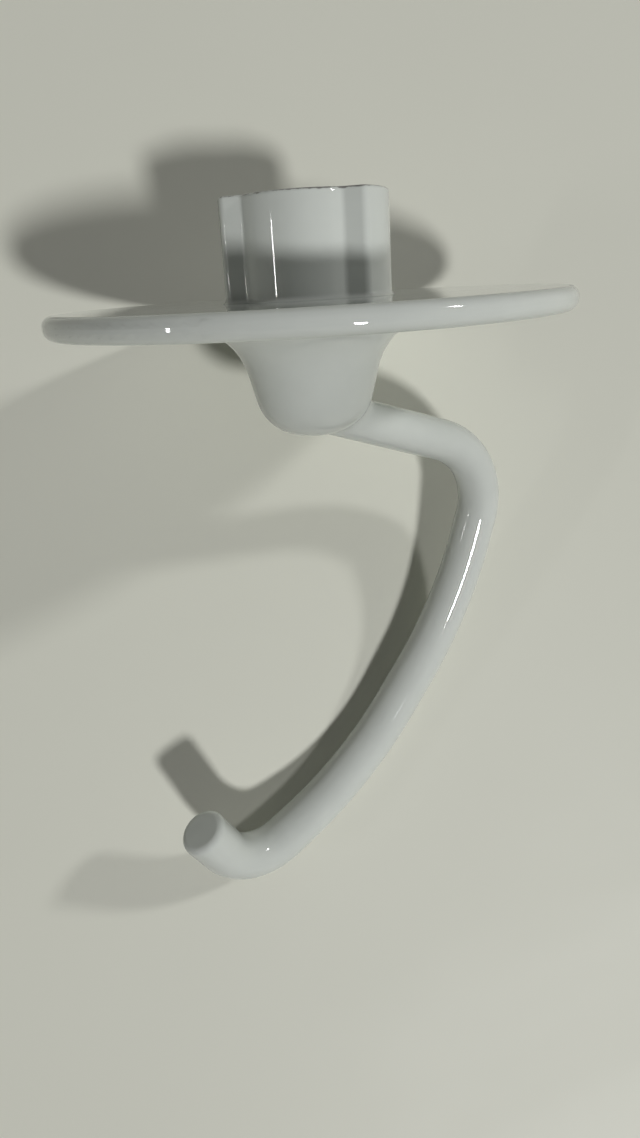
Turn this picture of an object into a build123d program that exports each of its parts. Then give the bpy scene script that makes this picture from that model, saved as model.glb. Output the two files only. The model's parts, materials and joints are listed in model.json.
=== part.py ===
from build123d import *
import os

# Stand mixer dough hook: one white-coated aluminium casting, in millimetres.
# The hook is modelled about its drive axis (Z, hub up, arm leaving along +X) and
# laid down at the end, as it comes to rest on a level surface.

# Guard disc, which keeps dough from climbing into the drive
disc_radius = 50.8
disc_thickness = 4.4
rim_round = 1.9

# Hub above the disc: a round core with two opposite lobes for the cross pin
hub_height = 19.1
core_radius = 12.8
lobe_radius = 16.2
lobe_width = 17.2
lobe_angle = -41.0
lobe_corner = 1.5
core_blend = 1.4
hub_top_round = 0.7
hub_foot_round = 1.0

# Bore for the drive shaft, blind, from the top of the hub into the boss
shaft_diameter = 12.7
shaft_clearance = 0.3
bore_depth = 33.0
bore_lead_in = 0.6

# Slots for the cross pin: straight down from the top, then a short turn to lock
pin_diameter = 4.8
pin_length = 25.4
pin_clearance = 0.4
pin_turn = 26.0
slot_depth = 13.0
lock_roof = 5.0

# Bell-shaped boss under the disc, which carries the arm
boss_depth = 22.0
boss_top_radius = 15.5
boss_foot_radius = 10.2
boss_flare = 12.0
boss_shoulder = 9.4
boss_dome = 1.4

# Arm: straight runs joined by bends. Its corners share the depth of the hook, in percent (part), and
# each is measured from the one before it: inwards (in) and sideways out of the hook's plane (bow).
# The first lies on the drive axis, with the dome of the boss covering it
root_diameter = 8.8
tip_diameter = 10.5
tip_round = 1.5
crease_round = 2.0
root_cover = 5.0
hook_depth = 104.7
elbow_reach, elbow_part, elbow_bend = 44.0, 14.2, 16.0
flank_in, flank_bow, flank_part, flank_bend = 9.6, 3.1, 34.9, 95.0
belly_in, belly_bow, belly_part, belly_bend = 27.0, 2.0, 35.1, 85.0
toe_in, toe_bow, toe_part, toe_bend = 29.8, -0.6, 15.8, 12.0
tip_in, tip_bow, tip_rise = 11.1, -4.0, 17.0

# Pose at rest: turned about the drive axis, then tipped until disc rim and arm touch down
rest_turn = 25.0
rest_tilt = 20.0

bore_radius = (shaft_diameter + shaft_clearance) / 2
slot_width = pin_diameter + pin_clearance
slot_radius = (pin_length + pin_clearance) / 2
hub_top = disc_thickness + hub_height
slot_floor = hub_top - slot_depth
lock_ceiling = hub_top - lock_roof
entry_angle = lobe_angle + pin_turn / 2
lock_angle = lobe_angle - pin_turn / 2

fall = hook_depth / (elbow_part + flank_part + belly_part + toe_part)
root = Vector(0, 0, root_cover - boss_depth)
elbow = root + Vector(elbow_reach, 0, -elbow_part * fall)
flank = elbow + Vector(-flank_in, flank_bow, -flank_part * fall)
belly = flank + Vector(-belly_in, belly_bow, -belly_part * fall)
toe = belly + Vector(-toe_in, toe_bow, -toe_part * fall)
tip = toe + Vector(-tip_in, tip_bow, tip_rise)
arm_corners = [root, elbow, flank, belly, toe, tip]
arm_bends = [elbow_bend, flank_bend, belly_bend, toe_bend]

with BuildPart() as hook:
    # Disc and boss: one turned profile
    with BuildSketch(Plane.XZ) as turned:
        with BuildLine():
            Polyline(
                (0, -boss_depth),
                (0, disc_thickness),
                (disc_radius, disc_thickness),
                (disc_radius, 0),
                (boss_top_radius, 0),
                (boss_foot_radius, -boss_depth + boss_dome),
            )
            TangentArc(
                (0, -boss_depth),
                (boss_foot_radius, -boss_depth + boss_dome),
                tangent=(1, 0),
            )
        make_face()
        rim = turned.vertices().group_by(Axis.X)[-1]
        fillet(rim, rim_round)
        flare = turned.vertices().filter_by(lambda v: abs(v.Y) < 1e-6 and abs(v.X - boss_top_radius) < 1e-6)
        fillet(flare, boss_flare)
        foot = turned.vertices().filter_by(lambda v: abs(v.X - boss_foot_radius) < 1e-6)
        fillet(foot, boss_shoulder)
    revolve(axis=Axis.Z)

    # Arm: a round bar that thickens towards its toe, and a straight tip with a blunt end
    with BuildLine() as arm_line:
        FilletPolyline(arm_corners, radius=arm_bends)
    *bar, stub = arm_line.wire().edges()
    bar_path = Wire(bar)
    with BuildSketch(Plane(bar_path @ 0, x_dir=(0, 1, 0), z_dir=bar_path % 0)) as root_section:
        Circle(root_diameter / 2)
    with BuildSketch(Plane(bar_path @ 1, x_dir=(0, 1, 0), z_dir=bar_path % 1)) as toe_section:
        Circle(tip_diameter / 2)
    sweep(sections=[root_section.sketch, toe_section.sketch], path=bar_path, multisection=True)
    crease = hook.edges(Select.LAST).filter_by(GeomType.BSPLINE)
    crease = crease.filter_by(lambda e: Vector(e.center().X, e.center().Y).length < boss_top_radius)
    fillet(crease.filter_by(lambda e: -boss_depth < e.center().Z < 0), crease_round)
    with BuildSketch(Plane(stub @ 0, x_dir=(0, 1, 0), z_dir=stub % 0)):
        Circle(tip_diameter / 2)
    extrude(amount=stub.length)
    tip_face = hook.faces().filter_by(GeomType.PLANE).sort_by_distance(tip)[0]
    fillet(tip_face.edges(), tip_round)

    # Hub: core and lobes in one outline, raised from the disc
    with BuildSketch(Plane.XY.offset(disc_thickness)) as hub_outline:
        Circle(lobe_radius)
        Rectangle(2 * lobe_radius, lobe_width, rotation=lobe_angle, mode=Mode.INTERSECT)
        fillet(hub_outline.vertices(), lobe_corner)
        Circle(core_radius)
        inner = hub_outline.vertices().filter_by(lambda v: abs(Vector(v.X, v.Y).length - core_radius) < 0.01)
        fillet(inner, core_blend)
    extrude(amount=hub_height)
    fillet(hook.faces().sort_by(Axis.Z)[-1].edges(), hub_top_round)
    foot_edges = hook.edges().filter_by_position(Axis.Z, disc_thickness - 0.01, disc_thickness + 0.01)
    fillet(foot_edges.filter_by(lambda e: e.bounding_box().diagonal < 2.2 * lobe_radius), hub_foot_round)

    # Bore for the shaft
    with Locations((0, 0, hub_top)):
        Hole(bore_radius, depth=bore_depth)
    mouth = hook.edges().filter_by(GeomType.CIRCLE).filter_by(lambda e: abs(e.center().Z - hub_top) < 0.01)
    chamfer(mouth.filter_by(lambda e: abs(e.radius - bore_radius) < 0.01), bore_lead_in)

    # Slot that the cross pin goes down, and the pocket that it turns into
    with BuildSketch(Plane.XY.offset(hub_top)):
        Circle(slot_radius)
        Rectangle(2 * slot_radius, slot_width, rotation=entry_angle, mode=Mode.INTERSECT)
    extrude(amount=-slot_depth, mode=Mode.SUBTRACT)
    with BuildSketch(Plane.XY.offset(lock_ceiling)):
        Rectangle(2 * slot_radius, slot_width, rotation=entry_angle)
        Rectangle(2 * slot_radius, slot_width, rotation=lock_angle)
        for side in (0, 180):
            with BuildLine():
                swept = CenterArc((0, 0), slot_radius, lock_angle + side, pin_turn)
                Line((0, 0), swept @ 0)
                Line(swept @ 1, (0, 0))
            make_face()
        Circle(slot_radius, mode=Mode.INTERSECT)
    extrude(amount=slot_floor - lock_ceiling, mode=Mode.SUBTRACT)

# Laid down: turned about the drive axis, tipped over, and set on Z = 0
laid = Rotation(rest_tilt - 90, 0, rest_turn) * hook.part
box = laid.bounding_box()
with BuildPart() as dough_hook:
    with Locations((-box.center().X, -box.center().Y, -box.min.Z)):
        add(laid)

dough_hook.part.label = "dough_hook"
os.makedirs("parts", exist_ok=True)
export_step(dough_hook.part, "parts/dough_hook.step")
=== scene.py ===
# %% [markdown]
# # A dough hook, dressed
#
# The hook is one aluminium casting under a glossy white coat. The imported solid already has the
# right shape and size, so this lesson loads it, gives it a finish that behaves like baked enamel,
# and lights it plainly.

import json
import math

import bpy
from mathutils import Matrix, Vector

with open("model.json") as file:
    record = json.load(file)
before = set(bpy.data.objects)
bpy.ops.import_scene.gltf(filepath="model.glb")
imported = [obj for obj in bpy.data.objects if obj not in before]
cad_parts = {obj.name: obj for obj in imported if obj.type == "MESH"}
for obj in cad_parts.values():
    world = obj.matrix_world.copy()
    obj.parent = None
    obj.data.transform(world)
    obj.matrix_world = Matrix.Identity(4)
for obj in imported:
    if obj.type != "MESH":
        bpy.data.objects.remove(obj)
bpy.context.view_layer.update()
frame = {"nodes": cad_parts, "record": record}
casting = frame["nodes"]["dough_hook"]


# %% [markdown]
# ## Where the drive axis runs
#
# The hook lies on its rim and its arm, so its drive axis leans. Several finishes follow that axis:
# the bore is bare metal, its turning marks run round it, and a painted line of shade and dark
# reflection runs round the hub's top edge. One point on the axis and its direction are enough to
# place them.

# %% Drive axis
bore = frame["record"]["mounts"][0]
axis_point = Vector(bore["pos_m"])
axis_direction = Vector(bore["axis"]).normalized()
bore_radius = bore["dims"]["r_mm"] / 1000
lean = math.asin(axis_direction.z)
print("the drive axis leans", round(math.degrees(lean), 1), "degrees, bore radius", bore_radius)

# %% [markdown]
# ## The camera
#
# The hook is seen from almost straight above, from close by, so the lens is fairly wide. The
# camera's own axes are set as a matrix, because a target and an up vector would hide the small
# roll of a hand-held picture.

# %% Camera
lens_mm = 28.47
sensor_mm = 36
nearest_seen = 0.005
camera_place = Vector((-0.0032, -0.009129, 0.22245))
camera_right = Vector((0.99788, -0.06445, 0.0087)).normalized()
camera_back = Vector((-0.01097, -0.03491, 0.99933)).normalized()
camera_up = camera_back.cross(camera_right).normalized()
camera_right = camera_up.cross(camera_back)

camera = bpy.data.objects.new("camera", bpy.data.cameras.new("camera"))
bpy.context.scene.collection.objects.link(camera)
camera.data.lens = lens_mm
camera.data.sensor_width = sensor_mm
camera.data.clip_start = nearest_seen
turned = Matrix((camera_right, camera_up, camera_back)).transposed()
camera.matrix_world = Matrix.Translation(camera_place) @ turned.to_4x4()
bpy.context.scene.camera = camera
print("camera at", [round(v, 4) for v in camera_place], "lens", lens_mm)

# %% [markdown]
# ## Helpers for node trees
#
# A material is a small graph of nodes. The first helpers add a node with its values set and join
# two sockets. The others make the few kinds of node that come back in every finish, so that each
# finish below reads as a short list of what feeds what.

# %% Node helpers
def add_node(tree, kind, **values):
    """A new node: names that start with a capital are input sockets, the rest are settings."""
    node = tree.nodes.new(kind)
    for name, value in values.items():
        if name[0].isupper():
            node.inputs[name.replace("_", " ")].default_value = value
        else:
            setattr(node, name, value)
    return node


def join(tree, source, target):
    """A link from an output socket to an input socket."""
    tree.links.new(source, target)


def maths(tree, operation, second=None):
    """A Math node, with its second number where one is given."""
    node = add_node(tree, "ShaderNodeMath", operation=operation)
    if second is not None:
        node.inputs[1].default_value = second
    return node


def smooth_step(tree, start, end):
    """A value that eases from 0 at the start to 1 at the end."""
    node = add_node(tree, "ShaderNodeMapRange", From_Min=start, From_Max=end)
    node.interpolation_type = "SMOOTHSTEP"
    return node


def two_tones(tree, tones, stops=(0.0, 1.0)):
    """A colour ramp from the first tone to the second, between the two stops."""
    node = add_node(tree, "ShaderNodeValToRGB")
    for element, tone, stop in zip(node.color_ramp.elements, tones, stops):
        element.position = stop
        element.color = (*tone, 1)
    return node


def mixed_colour(tree, share, first, second):
    """The first colour with a share of the second, which may be a plain tone."""
    node = add_node(tree, "ShaderNodeMix", data_type="RGBA")
    first_socket, second_socket, result_socket = 6, 7, 2
    join(tree, share, node.inputs["Factor"])
    join(tree, first, node.inputs[first_socket])
    if isinstance(second, tuple):
        node.inputs[second_socket].default_value = (*second, 1)
    else:
        join(tree, second, node.inputs[second_socket])
    return node.outputs[result_socket]


def new_material(name):
    """A material with a Principled surface; returns it with its tree, coordinates and surface."""
    material = bpy.data.materials.new(name)
    material.use_nodes = True
    tree = material.node_tree
    tree.nodes.clear()
    surface = add_node(tree, "ShaderNodeBsdfPrincipled")
    output = add_node(tree, "ShaderNodeOutputMaterial")
    join(tree, surface.outputs[0], output.inputs["Surface"])
    return material, tree, add_node(tree, "ShaderNodeTexCoord"), surface


print("helpers ready")

# %% [markdown]
# ## Handling marks, shared by every finish
#
# No glossy surface is evenly glossy: fingers leave patches that are a little duller, and wiping
# leaves faint streaks. The coat, the bare metal and the floor all have this, so it is one node
# group, with its own strength in each material.

# %% Handling marks group
patch_edges = 0.42, 0.72
streak_scales = (900.0, 120.0, 500.0)
streak_share = 0.35

marks = bpy.data.node_groups.new("handling_marks", "ShaderNodeTree")
marks.interface.new_socket("Vector", in_out="INPUT", socket_type="NodeSocketVector")
for name in ("Patch Scale", "Glossy", "Dull"):
    marks.interface.new_socket(name, in_out="INPUT", socket_type="NodeSocketFloat")
marks.interface.new_socket("Roughness", in_out="OUTPUT", socket_type="NodeSocketFloat")

entry = add_node(marks, "NodeGroupInput")
leave = add_node(marks, "NodeGroupOutput")
patches = add_node(marks, "ShaderNodeTexNoise", Detail=3.0, Roughness=0.55, Distortion=0.6)
patch_mask = smooth_step(marks, *patch_edges)
stretch = add_node(marks, "ShaderNodeVectorMath", operation="MULTIPLY")
stretch.inputs[1].default_value = streak_scales
streaks = add_node(marks, "ShaderNodeTexNoise", Scale=1.0, Detail=2.0, Roughness=0.6)
both = maths(marks, "MULTIPLY_ADD", streak_share)
spread = add_node(marks, "ShaderNodeMapRange")
join(marks, entry.outputs["Vector"], patches.inputs["Vector"])
join(marks, entry.outputs["Patch Scale"], patches.inputs["Scale"])
join(marks, patches.outputs[0], patch_mask.inputs["Value"])
join(marks, entry.outputs["Vector"], stretch.inputs[0])
join(marks, stretch.outputs[0], streaks.inputs["Vector"])
join(marks, streaks.outputs[0], both.inputs[0])
join(marks, patch_mask.outputs[0], both.inputs[2])
join(marks, both.outputs[0], spread.inputs["Value"])
join(marks, entry.outputs["Glossy"], spread.inputs["To Min"])
join(marks, entry.outputs["Dull"], spread.inputs["To Max"])
join(marks, spread.outputs[0], leave.inputs["Roughness"])
print("group", marks.name, [socket.name for socket in marks.interface.items_tree])

# %% [markdown]
# ## The white coat
#
# The coat is baked on: thick, glossy and very slightly wavy, as paint is over a cast surface. The
# waves could be modelled, but they are far too shallow to change the outline, so two bumps give
# them: a fine orange peel, and a slow unevenness of the casting under it.

# %% White coat
coat_tones = (0.545, 0.571, 0.538), (0.591, 0.617, 0.582)
peel_share = 0.12

white_coat, coat, place, surface = new_material("white_coat")
surface.inputs["IOR"].default_value = 1.52
gloss = add_node(
    coat, "ShaderNodeGroup", node_tree=marks, Patch_Scale=70.0, Glossy=0.02, Dull=0.06
)
tint = add_node(coat, "ShaderNodeTexNoise", Scale=28.0, Detail=4.0, Roughness=0.6)
coat_tone = two_tones(coat, coat_tones, stops=(0.35, 0.65))
peel = add_node(coat, "ShaderNodeTexNoise", Scale=650.0, Detail=1.5, Roughness=0.5)
waves = add_node(coat, "ShaderNodeTexNoise", Scale=75.0, Detail=1.0, Roughness=0.4)
relief = maths(coat, "MULTIPLY_ADD", peel_share)
bump = add_node(coat, "ShaderNodeBump", Strength=0.05, Distance=0.0002)
for pattern in (gloss, tint, peel, waves):
    join(coat, place.outputs["Object"], pattern.inputs["Vector"])
join(coat, tint.outputs[0], coat_tone.inputs[0])
join(coat, peel.outputs[0], relief.inputs[0])
join(coat, waves.outputs[0], relief.inputs[2])
join(coat, relief.outputs[0], bump.inputs["Height"])
join(coat, bump.outputs[0], surface.inputs["Normal"])
print("coat nodes", len(coat.nodes))

# %% [markdown]
# ## Heights along the drive axis
#
# The next two finishes are placed by how high they lie along the drive axis and how far from it. A
# Mapping node turns the object's coordinates to that axis: its Z is then the height above the
# mount's point, and the length of its X and Y is the distance from the axis.

# %% Height and distance
about_axis = add_node(
    coat,
    "ShaderNodeMapping",
    vector_type="TEXTURE",
    Location=axis_point,
    Rotation=(lean - math.pi / 2, 0, 0),
)
split = add_node(coat, "ShaderNodeSeparateXYZ")
flat = add_node(coat, "ShaderNodeCombineXYZ")
distance = add_node(coat, "ShaderNodeVectorMath", operation="LENGTH")
ragged = add_node(coat, "ShaderNodeTexNoise", Scale=420.0, Detail=3.0, Roughness=0.6)
join(coat, place.outputs["Object"], about_axis.inputs["Vector"])
join(coat, about_axis.outputs[0], split.inputs[0])
join(coat, split.outputs["X"], flat.inputs["X"])
join(coat, split.outputs["Y"], flat.inputs["Y"])
join(coat, flat.outputs[0], distance.inputs[0])
join(coat, place.outputs["Object"], ragged.inputs["Vector"])
height = split.outputs["Z"]


def ragged_height(spread):
    """The height, raised by noise of up to the given spread, so that a limit on it looks torn."""
    node = maths(coat, "MULTIPLY_ADD", spread)
    join(coat, ragged.outputs[0], node.inputs[0])
    join(coat, height, node.inputs[2])
    return node.outputs[0]


print("axis coordinates start at", [round(v, 4) for v in axis_point])

# %% [markdown]
# ## Bare metal in the bore
#
# The bore is machined after the coat is baked, so inside it the coat ends in a ragged line of
# overspray and the metal shows, with rings left by the tool. It stays one material with the coat,
# because the casting is one piece: a mask turns the coat into metal.

# %% Bare bore
bore_reach = bore_radius * 1.02
bore_bottom = -0.0106
overspray = 0.010
coat_ends = 0.0215, 0.0185
rings_per_metre = 2600.0
metal_tones = (0.42, 0.42, 0.43), (0.62, 0.62, 0.61)

within = maths(coat, "LESS_THAN", bore_reach)
above_bottom = maths(coat, "GREATER_THAN", bore_bottom)
fade = smooth_step(coat, *coat_ends)
inside = maths(coat, "MULTIPLY")
bare = maths(coat, "MULTIPLY")
join(coat, distance.outputs["Value"], within.inputs[0])
join(coat, height, above_bottom.inputs[0])
join(coat, within.outputs[0], inside.inputs[0])
join(coat, above_bottom.outputs[0], inside.inputs[1])
join(coat, ragged_height(overspray), fade.inputs["Value"])
join(coat, fade.outputs[0], bare.inputs[0])
join(coat, inside.outputs[0], bare.inputs[1])

pitch = maths(coat, "MULTIPLY", rings_per_metre)
rings = add_node(
    coat, "ShaderNodeTexNoise", noise_dimensions="1D", Scale=1.0, Detail=2.0, Roughness=0.7
)
metal = two_tones(coat, metal_tones, stops=(0.3, 0.7))
join(coat, height, pitch.inputs[0])
join(coat, pitch.outputs[0], rings.inputs["W"])
join(coat, rings.outputs[0], metal.inputs[0])
coat_or_metal = mixed_colour(coat, bare.outputs[0], coat_tone.outputs[0], metal.outputs[0])
join(coat, bare.outputs[0], surface.inputs["Metallic"])
print("bare metal within", round(bore_reach * 1000, 2), "mm of the axis")

# %% [markdown]
# ## Painted shade on the hub's top edge
#
# A thin dark line is painted round the rounded top edge of the hub: painted shade and a painted
# dark reflection, where the rounding turns away from the lamps and mirrors the shadowed floor.
# Height alone would darken the whole flat top, so the mask also asks which way the surface faces:
# it leaves out what looks straight along the axis, and the rounded edge remains.

# %% Painted shade line
hub_top = 0.0230
shade_line_spread = 0.0012
shade_line_middle = hub_top + shade_line_spread / 2
shade_line_starts, shade_line_ends = shade_line_middle - 0.00035, shade_line_middle - 0.0001
flat_facing, edge_facing = 0.97, 0.85
# Painted shade: the dark tone of the line on the hub's top edge.
shade_line_tone = (0.16, 0.155, 0.145)

shade_line_band = smooth_step(coat, shade_line_starts, shade_line_ends)
facing = add_node(coat, "ShaderNodeVectorMath", operation="DOT_PRODUCT")
facing.inputs[1].default_value = axis_direction
rounded = smooth_step(coat, flat_facing, edge_facing)
painted_shade = maths(coat, "MULTIPLY")
join(coat, ragged_height(shade_line_spread), shade_line_band.inputs["Value"])
join(coat, place.outputs["Normal"], facing.inputs[0])
join(coat, facing.outputs["Value"], rounded.inputs["Value"])
join(coat, shade_line_band.outputs[0], painted_shade.inputs[0])
join(coat, rounded.outputs[0], painted_shade.inputs[1])
# The hub's top edge takes the painted shade and dark reflection here.
colour = mixed_colour(coat, painted_shade.outputs[0], coat_or_metal, shade_line_tone)
join(coat, colour, surface.inputs["Base Color"])
print("worn line at", round(hub_top * 1000, 1), "mm along the axis")

# %% [markdown]
# ## Gloss of coat and metal
#
# The handling marks set how glossy the coat is. The turned metal is duller, so the mask of the
# bore adds to that roughness. With this the finish is complete, and the casting takes it.

# %% Gloss, and the casting's material
metal_dullness = 0.22

dulled = maths(coat, "MULTIPLY_ADD", metal_dullness)
join(coat, bare.outputs[0], dulled.inputs[0])
join(coat, gloss.outputs["Roughness"], dulled.inputs[2])
join(coat, dulled.outputs[0], surface.inputs["Roughness"])
casting.data.materials.clear()
casting.data.materials.append(white_coat)
print("casting wears", [material.name for material in casting.data.materials])

# %% [markdown]
# ## The floor
#
# A plain pale floor, wide enough to fill every view. It is matt enough to stay quiet, and shares
# the handling marks so that it isn't one flat tone.

# %% Floor
half = 3.0
floor_tones = (0.674, 0.678, 0.594), (0.708, 0.711, 0.625)

corners = [(-half, -half, 0), (half, -half, 0), (half, half, 0), (-half, half, 0)]
mesh = bpy.data.meshes.new("floor")
mesh.from_pydata(corners, [], [(0, 1, 2, 3)])
floor = bpy.data.objects.new("floor", mesh)
bpy.context.scene.collection.objects.link(floor)
pale_floor, matt, place, surface = new_material("pale_floor")
sheen = add_node(
    matt, "ShaderNodeGroup", node_tree=marks, Patch_Scale=9.0, Glossy=0.50, Dull=0.60
)
tint = add_node(matt, "ShaderNodeTexNoise", Scale=6.0, Detail=3.0)
floor_tone = two_tones(matt, floor_tones)
join(matt, place.outputs["Object"], sheen.inputs["Vector"])
join(matt, place.outputs["Object"], tint.inputs["Vector"])
join(matt, tint.outputs[0], floor_tone.inputs[0])
join(matt, floor_tone.outputs[0], surface.inputs["Base Color"])
join(matt, sheen.outputs["Roughness"], surface.inputs["Roughness"])
mesh.materials.append(pale_floor)
print("floor", floor.name, "half width", half)

# %% [markdown]
# ## The lamps
#
# Small lamps give the crisp highlights and shadows. The key lamp stands a little on the arm's side
# of the guard disc, so the disc shades the foot of the hub. The strip on the left runs along the
# drive axis, so that it draws a thin upright line on the hub. Each lamp is placed by its direction
# from the hook, which makes it easy to see where its shadow falls.

# %% Lamps
lamp_distance = 4.0


def aimed_lamp(name, direction, size, watts, along=None):
    """A round lamp, or a strip whose length runs as nearly as it can along a direction."""
    lamp = bpy.data.objects.new(name, bpy.data.lights.new(name, "AREA"))
    lamp.data.energy = watts
    lamp.data.shape = "DISK" if along is None else "RECTANGLE"
    lamp.data.size = size if along is None else size[0]
    if along is not None:
        lamp.data.size_y = size[1]
    aim = Vector(direction).normalized()
    side = (along or Vector((0, 1, 0))).cross(aim).normalized()
    turned = Matrix((side, aim.cross(side), aim)).transposed()
    lamp.matrix_world = Matrix.Translation(aim * lamp_distance) @ turned.to_4x4()
    bpy.context.scene.collection.objects.link(lamp)
    return lamp


lamps = [
    aimed_lamp("key_lamp", (0.38, -0.63, 1.0), 0.40, 92.0),
    aimed_lamp("right_lamp", (1.42, 0.60, 1.0), 0.34, 43.0),
    aimed_lamp("left_strip", (-1.70, -0.36, 1.0), (0.09, 0.60), 7.0, along=axis_direction),
]
print("lamps", [(lamp.name, lamp.data.energy) for lamp in lamps])

# %% [markdown]
# ## The room
#
# A dim world fills the shadows. It is lighter behind the hook, so that the back of the disc isn't
# lost in the dark. The camera and the reflections see a pale wall all round instead, under a dark
# ceiling. A Light Path node tells these rays from the ones that light matt surfaces.

# %% World
room_tones = (0.015, 0.0153, 0.0147), (0.180, 0.1830, 0.1770)
room_reach = -0.2, 1.0
wall_and_ceiling = (0.42, 0.423, 0.385), (0.027, 0.0275, 0.0265)
wall_top = 0.55, 0.85

world = bpy.data.worlds.new("soft_room")
world.use_nodes = True
sky = world.node_tree
heading = add_node(sky, "ShaderNodeSeparateXYZ")
behind = smooth_step(sky, *room_reach)
shade = two_tones(sky, room_tones)
overhead = smooth_step(sky, *wall_top)
backdrop = two_tones(sky, wall_and_ceiling)
join(sky, add_node(sky, "ShaderNodeTexCoord").outputs["Generated"], heading.inputs[0])
join(sky, heading.outputs["Y"], behind.inputs["Value"])
join(sky, behind.outputs[0], shade.inputs[0])
join(sky, heading.outputs["Z"], overhead.inputs["Value"])
join(sky, overhead.outputs[0], backdrop.inputs[0])

rays = add_node(sky, "ShaderNodeLightPath")
mirrored = maths(sky, "ADD")
seen = add_node(sky, "ShaderNodeMath", operation="ADD", use_clamp=True)
join(sky, rays.outputs["Is Glossy Ray"], mirrored.inputs[0])
join(sky, rays.outputs["Is Transmission Ray"], mirrored.inputs[1])
join(sky, rays.outputs["Is Camera Ray"], seen.inputs[0])
join(sky, mirrored.outputs[0], seen.inputs[1])
room = mixed_colour(sky, seen.outputs[0], shade.outputs[0], backdrop.outputs[0])
join(sky, room, sky.nodes["Background"].inputs["Color"])
bpy.context.scene.world = world
bpy.context.scene.view_settings.view_transform = "Standard"
print("world", world.name, "with", len(sky.nodes), "nodes")
